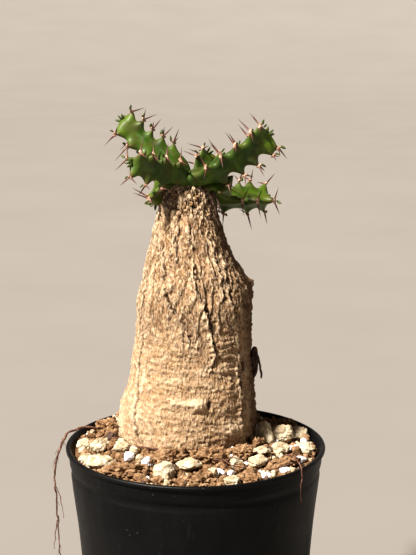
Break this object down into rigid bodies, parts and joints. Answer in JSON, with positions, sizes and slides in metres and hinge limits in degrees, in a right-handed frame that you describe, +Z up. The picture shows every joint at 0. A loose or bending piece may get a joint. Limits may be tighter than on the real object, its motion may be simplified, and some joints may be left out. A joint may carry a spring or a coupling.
{
  "type": "potted euphorbia",
  "caption": "Spiny euphorbia with a wrinkled tapering caudex and short toothed green branches in a round black plastic pot with gritty soil.",
  "frame": {"origin": "centre of the pot's flat base, on the surface it stands on", "axes": "+Z up along the pot's axis, -Y the front, +X to the right of a viewer at the front"},
  "size_m": [0.0959, 0.09, 0.2056],
  "materials": {
    "pot_plastic": "dull black nursery plastic with a faint sheen",
    "soil_mix": "loose grit and crumb mix",
    "caudex_bark": "dry wrinkled bark",
    "stem_skin": "waxy green succulent skin",
    "pumice_stone": "dusty cream pumice",
    "perlite_stone": "chalky white perlite",
    "akadama_clay": "crumbly brown clay granules",
    "dry_wood": "dry brown roots and chips"
  },
  "bodies": {
    "root": {"akadama_01": "akadama_clay", "akadama_02": "akadama_clay", "akadama_03": "akadama_clay", "akadama_04": "akadama_clay", "akadama_05": "akadama_clay", "akadama_06": "akadama_clay", "akadama_07": "akadama_clay", "akadama_08": "akadama_clay", "akadama_09": "akadama_clay", "akadama_10": "akadama_clay", "akadama_11": "akadama_clay", "bark_chip_01": "dry_wood", "branch_centre": "stem_skin", "branch_left_back": "stem_skin", "branch_left_front": "stem_skin", "branch_left_upper": "stem_skin", "branch_right_lower": "stem_skin", "branch_right_stub": "stem_skin", "branch_right_upper": "stem_skin", "caudex": "caudex_bark", "dry_shoot": "dry_wood", "dry_stalk": "dry_wood", "perlite_01": "perlite_stone", "perlite_02": "perlite_stone", "perlite_03": "perlite_stone", "perlite_04": "perlite_stone", "perlite_05": "perlite_stone", "pot": "pot_plastic", "pumice_01": "pumice_stone", "pumice_02": "pumice_stone", "pumice_03": "pumice_stone", "pumice_04": "pumice_stone", "pumice_05": "pumice_stone", "pumice_06": "pumice_stone", "pumice_07": "pumice_stone", "pumice_08": "pumice_stone", "pumice_09": "pumice_stone", "pumice_10": "pumice_stone", "pumice_11": "pumice_stone", "pumice_12": "pumice_stone", "pumice_13": "pumice_stone", "pumice_14": "pumice_stone", "pumice_15": "pumice_stone", "pumice_16": "pumice_stone", "pumice_17": "pumice_stone", "pumice_18": "pumice_stone", "pumice_19": "pumice_stone", "root_on_soil": "dry_wood", "root_over_rim_left": "dry_wood", "root_over_rim_right": "dry_wood", "soil_bed": "soil_mix"}
  },
  "joints": []
}
